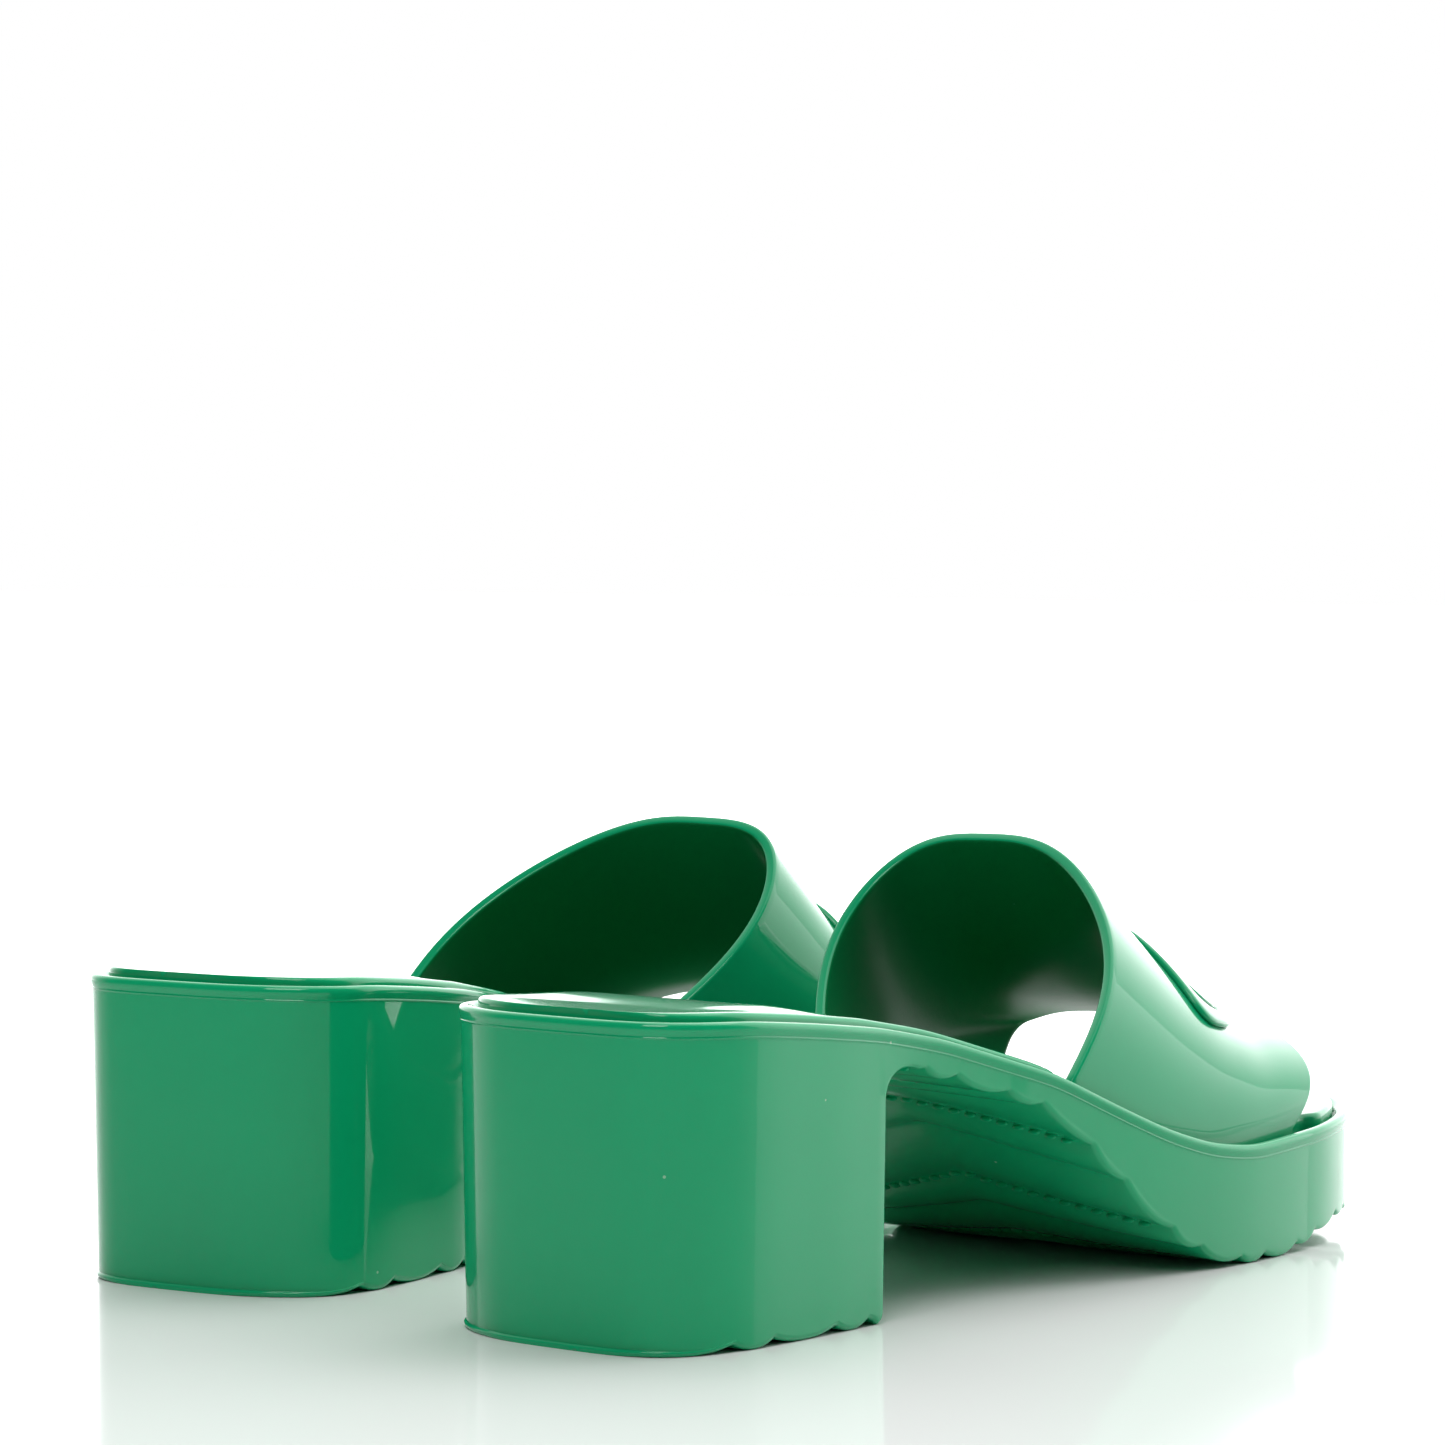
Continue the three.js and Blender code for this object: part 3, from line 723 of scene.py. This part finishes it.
def speck_group():
    """Sparse pale dust specks and a slow drift of tone over the rubber."""
    group = bpy.data.node_groups.new("Rubber surface", "ShaderNodeTree")
    face = group.interface
    face.new_socket("Vector", in_out="INPUT", socket_type="NodeSocketVector")
    face.new_socket("Colour", in_out="INPUT", socket_type="NodeSocketColor")
    face.new_socket("Roughness", in_out="INPUT", socket_type="NodeSocketFloat")
    face.new_socket("Drift", in_out="INPUT", socket_type="NodeSocketFloat")
    face.new_socket("Colour", in_out="OUTPUT", socket_type="NodeSocketColor")
    face.new_socket("Roughness", in_out="OUTPUT", socket_type="NodeSocketFloat")
    face.new_socket("Height", in_out="OUTPUT", socket_type="NodeSocketFloat")
    nodes, links = group.nodes, group.links
    entry = nodes.new("NodeGroupInput")
    leave = nodes.new("NodeGroupOutput")

    drift = nodes.new("ShaderNodeTexNoise")
    drift.inputs["Scale"].default_value = 22
    drift.inputs["Detail"].default_value = 3
    links.new(entry.outputs["Vector"], drift.inputs["Vector"])
    shade = nodes.new("ShaderNodeMapRange")
    shade.inputs["To Min"].default_value = -0.5
    shade.inputs["To Max"].default_value = 0.5
    links.new(drift.outputs["Fac"], shade.inputs["Value"])
    amount = nodes.new("ShaderNodeMath")
    amount.operation = "MULTIPLY_ADD"
    amount.inputs[2].default_value = 1.0
    links.new(shade.outputs["Result"], amount.inputs[0])
    links.new(entry.outputs["Drift"], amount.inputs[1])
    toned = nodes.new("ShaderNodeHueSaturation")
    links.new(entry.outputs["Colour"], toned.inputs["Color"])
    links.new(amount.outputs["Value"], toned.inputs["Value"])

    dust = nodes.new("ShaderNodeTexVoronoi")
    dust.inputs["Scale"].default_value = 95
    links.new(entry.outputs["Vector"], dust.inputs["Vector"])
    spot = nodes.new("ShaderNodeMath")
    spot.operation = "LESS_THAN"
    spot.inputs[1].default_value = 0.028
    links.new(dust.outputs["Distance"], spot.inputs[0])
    chance = nodes.new("ShaderNodeSeparateColor")
    links.new(dust.outputs["Color"], chance.inputs["Color"])
    rare = nodes.new("ShaderNodeMath")
    rare.operation = "GREATER_THAN"
    rare.inputs[1].default_value = 0.82
    links.new(chance.outputs["Red"], rare.inputs[0])
    speck = nodes.new("ShaderNodeMath")
    speck.operation = "MULTIPLY"
    links.new(spot.outputs["Value"], speck.inputs[0])
    links.new(rare.outputs["Value"], speck.inputs[1])
    faint = nodes.new("ShaderNodeMath")
    faint.operation = "MULTIPLY"
    faint.inputs[1].default_value = 0.5
    links.new(speck.outputs["Value"], faint.inputs[0])
    dusty = nodes.new("ShaderNodeMix")
    dusty.data_type = "RGBA"
    dusty.inputs["B"].default_value = (0.42, 0.62, 0.48, 1)
    links.new(faint.outputs["Value"], dusty.inputs["Factor"])
    links.new(toned.outputs["Color"], dusty.inputs["A"])
    links.new(dusty.outputs["Result"], leave.inputs["Colour"])

    smear = nodes.new("ShaderNodeTexNoise")
    smear.inputs["Scale"].default_value = 60
    smear.inputs["Detail"].default_value = 4
    links.new(entry.outputs["Vector"], smear.inputs["Vector"])
    haze = nodes.new("ShaderNodeMath")
    haze.operation = "MULTIPLY_ADD"
    haze.inputs[1].default_value = 0.07
    links.new(smear.outputs["Fac"], haze.inputs[0])
    links.new(entry.outputs["Roughness"], haze.inputs[2])
    links.new(haze.outputs["Value"], leave.inputs["Roughness"])

    peel = nodes.new("ShaderNodeTexNoise")
    peel.inputs["Scale"].default_value = 260
    peel.inputs["Detail"].default_value = 2
    links.new(entry.outputs["Vector"], peel.inputs["Vector"])
    links.new(peel.outputs["Fac"], leave.inputs["Height"])
    return group


SPECKS = speck_group()


def rubber(name, colour, roughness, coat=0.6, coat_roughness=0.12, gloss=1.35, peel=0.02, grain=0.0):
    """Moulded rubber: toned colour, orange peel under the gloss, and a fine grain where it is asked for."""
    material, tree, shader, vector = new_material(name)
    surface = tree.nodes.new("ShaderNodeGroup")
    surface.node_tree = SPECKS
    surface.inputs["Colour"].default_value = (*colour, 1)
    surface.inputs["Roughness"].default_value = roughness
    surface.inputs["Drift"].default_value = 0.18
    tree.links.new(vector, surface.inputs["Vector"])
    tree.links.new(surface.outputs["Colour"], shader.inputs["Base Color"])
    tree.links.new(surface.outputs["Roughness"], shader.inputs["Roughness"])
    shader.inputs["IOR"].default_value = 1.5
    shader.inputs["Specular IOR Level"].default_value = 0.03
    shader.inputs["Coat IOR"].default_value = gloss
    shader.inputs["Coat Weight"].default_value = coat
    shader.inputs["Coat Roughness"].default_value = coat_roughness
    bump = tree.nodes.new("ShaderNodeBump")
    bump.inputs["Strength"].default_value = peel
    bump.inputs["Distance"].default_value = 0.0006
    tree.links.new(surface.outputs["Height"], bump.inputs["Height"])
    last = bump
    if grain:
        cells = tree.nodes.new("ShaderNodeTexNoise")
        cells.inputs["Scale"].default_value = 1500
        cells.inputs["Detail"].default_value = 2
        tree.links.new(vector, cells.inputs["Vector"])
        grained = tree.nodes.new("ShaderNodeBump")
        grained.inputs["Strength"].default_value = grain
        grained.inputs["Distance"].default_value = 0.0003
        tree.links.new(cells.outputs["Fac"], grained.inputs["Height"])
        tree.links.new(bump.outputs["Normal"], grained.inputs["Normal"])
        last = grained
    tree.links.new(last.outputs["Normal"], shader.inputs["Normal"])
    return material


def foam(name):
    material, tree, shader, vector = new_material(name)
    cells = tree.nodes.new("ShaderNodeTexVoronoi")
    cells.inputs["Scale"].default_value = 900
    tree.links.new(vector, cells.inputs["Vector"])
    tone = tree.nodes.new("ShaderNodeValToRGB")
    tone.color_ramp.elements[0].color = (0.5, 0.45, 0.34, 1)
    tone.color_ramp.elements[1].color = (0.72, 0.67, 0.55, 1)
    tree.links.new(cells.outputs["Distance"], tone.inputs["Fac"])
    tree.links.new(tone.outputs["Color"], shader.inputs["Base Color"])
    shader.inputs["Roughness"].default_value = 0.85
    bump = tree.nodes.new("ShaderNodeBump")
    bump.inputs["Strength"].default_value = 0.4
    bump.inputs["Distance"].default_value = 0.0005
    tree.links.new(cells.outputs["Distance"], bump.inputs["Height"])
    tree.links.new(bump.outputs["Normal"], shader.inputs["Normal"])
    return material


def steel(name):
    material, tree, shader, vector = new_material(name)
    stretch = tree.nodes.new("ShaderNodeMapping")
    stretch.inputs["Scale"].default_value = (900, 12, 900)
    tree.links.new(vector, stretch.inputs["Vector"])
    lines = tree.nodes.new("ShaderNodeTexNoise")
    lines.inputs["Scale"].default_value = 1
    tree.links.new(stretch.outputs["Vector"], lines.inputs["Vector"])
    rough = tree.nodes.new("ShaderNodeMapRange")
    rough.inputs["To Min"].default_value = 0.25
    rough.inputs["To Max"].default_value = 0.5
    tree.links.new(lines.outputs["Fac"], rough.inputs["Value"])
    tree.links.new(rough.outputs["Result"], shader.inputs["Roughness"])
    shader.inputs["Base Color"].default_value = (0.33, 0.34, 0.36, 1)
    shader.inputs["Metallic"].default_value = 1.0
    return material


SOLE_RUBBER = rubber("Sole rubber", (0.002, 0.34, 0.138), 0.35, coat=1.0, coat_roughness=0.03, gloss=1.4)
TREAD_RUBBER = rubber("Tread stitches rubber", (0.002, 0.36, 0.15), 0.35, coat=0.6)
FOOTBED_RUBBER = rubber(
    "Footbed rubber", (0.003, 0.34, 0.138), 0.35, coat=1.0, coat_roughness=0.06, grain=0.08,
)
BAND_RUBBER = rubber("Band rubber", (0.002, 0.30, 0.125), 0.35, coat=1.0, coat_roughness=0.02)
# The band's inside is the band's own rubber given a much darker colour: painted shade for the shade that
# falls inside the band.
BAND_INSIDE_PAINTED_SHADE = rubber(
    "Band inside painted shade rubber", (0.001, 0.17, 0.052), 0.5, coat=0.38, coat_roughness=0.27, grain=0.08,
)
EMBLEM_RUBBER = rubber("Emblem rubber", (0.002, 0.30, 0.125), 0.35, coat=1.0, coat_roughness=0.04)
CORE_FOAM = foam("Core foam")
SHANK_STEEL = steel("Shank steel")

# ---- Build -----------------------------------------------------------------------------------------

shapes = {
    "sole_body": (make_sole(), "sole_rubber", [SOLE_RUBBER], "sole_shell"),
    "footbed_plate": (make_footbed(), "footbed_rubber", [FOOTBED_RUBBER], "footbed"),
    # The band's second material is painted shade on its inside faces.
    "band": (make_band(), "band_rubber", [BAND_RUBBER, BAND_INSIDE_PAINTED_SHADE], "vamp_band"),
    "outer_ring": (make_ring(*OUTER_OVAL), "emblem_rubber", [EMBLEM_RUBBER], "emblem_outer_ring"),
    "inner_ring": (make_ring(*INNER_OVAL), "emblem_rubber", [EMBLEM_RUBBER], "emblem_inner_ring"),
    "tread_stitches": (make_stitches(), "sole_rubber", [TREAD_RUBBER], None),
}
for side in ("right", "left"):
    for name, (shape, slot, surfaces, node) in shapes.items():
        finish_piece(name, shape, side, surfaces, node)
    for node, surface in (("heel_core", CORE_FOAM), ("forefoot_filler", CORE_FOAM), ("shank", SHANK_STEEL)):
        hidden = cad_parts[f"{side}_{node}"]
        hidden.data.materials.clear()
        hidden.data.materials.append(surface)

# ---- Floor, light and camera -----------------------------------------------------------------------

SWEEP_SIDE = (-0.45, 0.89, 0.0)
SWEEP_GLOW = 2.8
ROOM_GLOW = 0.06


def make_floor():
    """A pale, faintly mirroring sheet."""
    bm = bmesh.new()
    bmesh.ops.create_grid(bm, x_segments=2, y_segments=2, size=6)
    mesh = bpy.data.meshes.new("floor")
    bm.to_mesh(mesh)
    bm.free()
    floor = bpy.data.objects.new("floor", mesh)
    bpy.context.scene.collection.objects.link(floor)
    material, tree, shader, vector = new_material("White floor")
    shader.inputs["Base Color"].default_value = (0.8, 0.8, 0.8, 1)
    shader.inputs["Roughness"].default_value = 0.08
    shader.inputs["Specular IOR Level"].default_value = 0.22
    # The sheet glows towards the sweep, where the lamps no longer reach, and more so in reflections.
    reach = tree.nodes.new("ShaderNodeVectorMath")
    reach.operation = "DOT_PRODUCT"
    reach.inputs[1].default_value = SWEEP_SIDE
    tree.links.new(vector, reach.inputs[0])
    fade = tree.nodes.new("ShaderNodeMapRange")
    fade.inputs["From Min"].default_value = 0.1
    fade.inputs["From Max"].default_value = 1.5
    fade.inputs["To Max"].default_value = 0.8
    tree.links.new(reach.outputs["Value"], fade.inputs["Value"])
    glow = tree.nodes.new("ShaderNodeMix")
    glow.data_type = "RGBA"
    glow.inputs["A"].default_value = (0, 0, 0, 1)
    glow.inputs["B"].default_value = (1, 1, 1, 1)
    tree.links.new(fade.outputs["Result"], glow.inputs["Factor"])
    tree.links.new(glow.outputs["Result"], shader.inputs["Emission Color"])
    path = tree.nodes.new("ShaderNodeLightPath")
    power = tree.nodes.new("ShaderNodeMix")
    power.inputs["A"].default_value = 2.2
    power.inputs["B"].default_value = 1.0
    tree.links.new(path.outputs["Is Camera Ray"], power.inputs["Factor"])
    tree.links.new(power.outputs["Result"], shader.inputs["Emission Strength"])
    mesh.materials.append(material)
    return floor


def softbox(name, place, aim, size, power):
    light = bpy.data.lights.new(name, "AREA")
    light.shape = "RECTANGLE"
    light.size, light.size_y = size
    light.energy = power
    lamp = bpy.data.objects.new(name, light)
    bpy.context.scene.collection.objects.link(lamp)
    lamp.visible_camera = False
    lamp.location = place
    lamp.rotation_euler = (Vector(aim) - Vector(place)).to_track_quat("-Z", "Y").to_euler()
    return lamp


def make_world():
    """A white sweep in front of the camera and a dimmer room behind it; the camera itself sees white."""
    world = bpy.data.worlds.new("Studio")
    bpy.context.scene.world = world
    world.use_nodes = True
    tree = world.node_tree
    background = tree.nodes["Background"]
    background.inputs["Color"].default_value = (1, 1, 1, 1)
    coords = tree.nodes.new("ShaderNodeTexCoord")
    towards = tree.nodes.new("ShaderNodeVectorMath")
    towards.operation = "DOT_PRODUCT"
    towards.inputs[1].default_value = SWEEP_SIDE
    tree.links.new(coords.outputs["Generated"], towards.inputs[0])
    glow = tree.nodes.new("ShaderNodeMapRange")
    glow.inputs["From Min"].default_value = -0.05
    glow.inputs["From Max"].default_value = 0.95
    glow.inputs["To Min"].default_value = ROOM_GLOW
    glow.inputs["To Max"].default_value = SWEEP_GLOW
    tree.links.new(towards.outputs["Value"], glow.inputs["Value"])
    path = tree.nodes.new("ShaderNodeLightPath")
    seen = tree.nodes.new("ShaderNodeMix")
    seen.inputs["B"].default_value = 1.0
    tree.links.new(path.outputs["Is Camera Ray"], seen.inputs["Factor"])
    tree.links.new(glow.outputs["Result"], seen.inputs["A"])
    tree.links.new(seen.outputs["Result"], background.inputs["Strength"])


CAMERA_PLACE = Vector((604.84, -717.07, 158.18))
CAMERA_AZIMUTH = -0.6668
CAMERA_PITCH = 0.0433
CAMERA_LENS = 125.2


def make_camera():
    camera = bpy.data.cameras.new("Camera")
    camera.lens = CAMERA_LENS
    camera.sensor_width = 36
    camera.clip_start = 0.05
    eye = bpy.data.objects.new("Camera", camera)
    bpy.context.scene.collection.objects.link(eye)
    eye.location = RIGHT_ORIGIN + CAMERA_PLACE * MM
    looking = Vector((
        math.sin(CAMERA_AZIMUTH) * math.cos(CAMERA_PITCH),
        math.cos(CAMERA_AZIMUTH) * math.cos(CAMERA_PITCH),
        -math.sin(CAMERA_PITCH),
    ))
    eye.rotation_euler = looking.to_track_quat("-Z", "Y").to_euler()
    bpy.context.scene.camera = eye


bpy.context.scene.view_settings.view_transform = "Standard"
make_floor()
make_world()
softbox("Top softbox", (0.15, 0.25, 1.6), (0, 0, 0), (1.5, 1.5), 14)
softbox("Right panel", (0.96, 1.15, 0.95), (0, 0, 0.5), (1.1, 1.9), 9)
softbox("Key softbox", (0.35, -0.97, 1.23), (0, 0, 0.03), (0.7, 0.7), 11)
make_camera()
